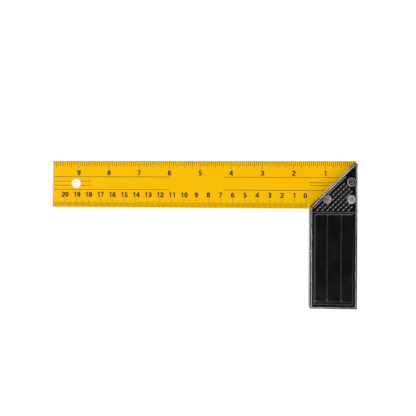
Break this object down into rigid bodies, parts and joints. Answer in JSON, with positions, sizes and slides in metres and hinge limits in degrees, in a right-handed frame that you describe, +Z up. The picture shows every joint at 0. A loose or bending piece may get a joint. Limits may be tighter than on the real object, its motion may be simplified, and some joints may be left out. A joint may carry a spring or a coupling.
{
  "type": "try square",
  "caption": "Riveted try square: flat graduated yellow steel blade set at a right angle in a black cast handle with a bare rim, knurled corner and ribbed grip.",
  "frame": {"origin": "on the surface that the square lies on, under the middle of its bounding box", "axes": "+X along the blade from its free end to the handle, +Y from the handle's foot to the blade's outer edge, +Z up from the blade's face"},
  "size_m": [0.25, 0.1182, 0.016],
  "materials": {
    "blade_lacquer": "yellow lacquer on hardened sheet steel, satin gloss, dark brown printed scales",
    "handle_casting": "die-cast aluminium, black paint in the recesses, bare machined rim and sides",
    "rivet_metal": "plain dull rivet steel, pressed heads"
  },
  "bodies": {
    "root": {"steel_blade": "blade_lacquer", "handle_casting": "handle_casting", "rivet_upper": "rivet_metal", "rivet_outer": "rivet_metal", "rivet_inner": "rivet_metal"}
  },
  "joints": []
}
